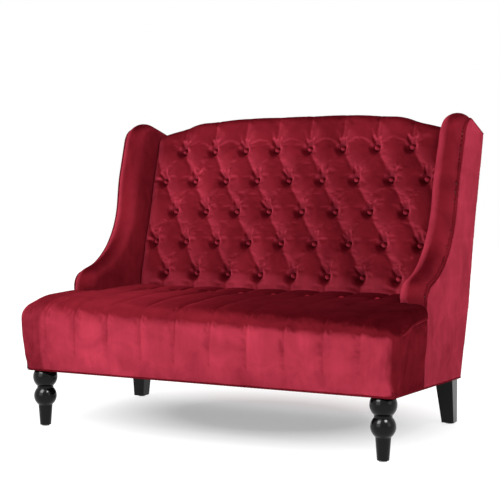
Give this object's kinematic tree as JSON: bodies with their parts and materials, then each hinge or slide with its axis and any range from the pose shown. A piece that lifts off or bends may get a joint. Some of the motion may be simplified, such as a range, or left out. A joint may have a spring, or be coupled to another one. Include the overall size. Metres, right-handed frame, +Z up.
{
  "type": "high back settee",
  "caption": "Two-seat settee with a diamond-tufted camel back, curved wings, a channelled tee-shaped seat, turned front legs and square tapered rear legs.",
  "frame": {"origin": "on the floor, midway between the sides and midway from front to rear", "axes": "+X along the seat to the right as seen from the front, +Y to the rear, +Z up"},
  "size_m": [1.2898, 0.8775, 1.0275],
  "materials": {
    "velvet": "dark red cut velvet with a soft sheen",
    "welt": "dark red velvet over cord",
    "black_wood": "black satin lacquer",
    "nylon": "matt",
    "plywood": "raw",
    "frame_wood": "raw",
    "spring_steel": "oiled wire",
    "zinc_steel": "zinc plated",
    "felt": "needled felt",
    "foam": "open-cell foam",
    "twine": "waxed twine",
    "dust_cloth": "black non-woven cloth"
  },
  "bodies": {
    "root": {"back_board": "plywood", "back_button_twine": "twine", "back_buttons": "velvet", "back_cover": "velvet", "back_foam": "foam", "back_lower_rail": "frame_wood", "back_post_left": "frame_wood", "back_post_right": "frame_wood", "back_slats": "frame_wood", "back_top_rail": "plywood", "base_welt": "welt", "centre_stretcher": "frame_wood", "deck_rail": "frame_wood", "dust_cover": "dust_cloth", "front_corner_post_left": "frame_wood", "front_corner_post_right": "frame_wood", "front_leg_left": "black_wood", "front_leg_right": "black_wood", "front_rail": "frame_wood", "leg_bolts": "zinc_steel", "leg_glides": "nylon", "leg_inserts": "zinc_steel", "outside_back_panel": "velvet", "outside_wing_panel_left": "velvet", "outside_wing_panel_right": "velvet", "rear_leg_left": "black_wood", "rear_leg_right": "black_wood", "rear_rail": "frame_wood", "seat_boxing_left": "velvet", "seat_boxing_right": "velvet", "seat_button_twine": "twine", "seat_buttons": "velvet", "seat_cover": "velvet", "seat_foam": "foam", "seat_springs": "spring_steel", "side_rail_left": "frame_wood", "side_rail_right": "frame_wood", "spring_clips": "zinc_steel", "spring_insulator": "felt", "wing_bolts": "zinc_steel", "wing_foam_left": "foam", "wing_foam_right": "foam", "wing_frame_left": "plywood", "wing_frame_right": "plywood", "wing_inner_cover_left": "velvet", "wing_inner_cover_right": "velvet", "wing_roll_left": "velvet", "wing_roll_right": "velvet", "wing_welt_left": "welt", "wing_welt_right": "welt"}
  },
  "joints": []
}
